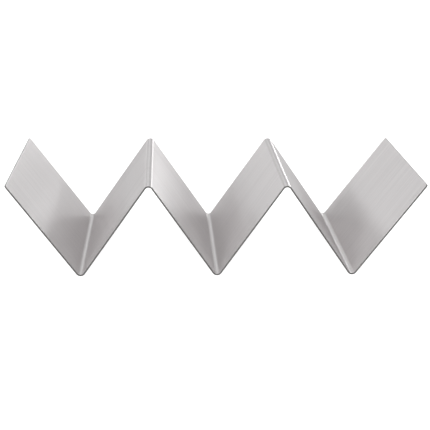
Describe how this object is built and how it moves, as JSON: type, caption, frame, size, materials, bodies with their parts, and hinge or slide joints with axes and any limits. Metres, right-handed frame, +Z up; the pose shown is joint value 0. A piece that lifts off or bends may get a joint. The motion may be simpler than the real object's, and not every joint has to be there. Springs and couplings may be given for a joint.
{
  "type": "taco holder",
  "caption": "Free-standing holder folded from a single strip of brushed stainless sheet into a zigzag of open V pockets that keep folded foods upright.",
  "frame": {"origin": "on the table, midway between the outer edges of the two free flanges and midway along the depth", "axes": "+X across the folds, along the row of pockets; +Y along the folds, from front to back; +Z up, out of the pockets"},
  "size_m": [0.2032, 0.1016, 0.0459],
  "materials": {
    "brushed_stainless": "fine straight-line satin brushing along the strip, square edges lightly deburred"
  },
  "bodies": {
    "root": {"folded_sheet": "brushed_stainless"}
  },
  "joints": []
}
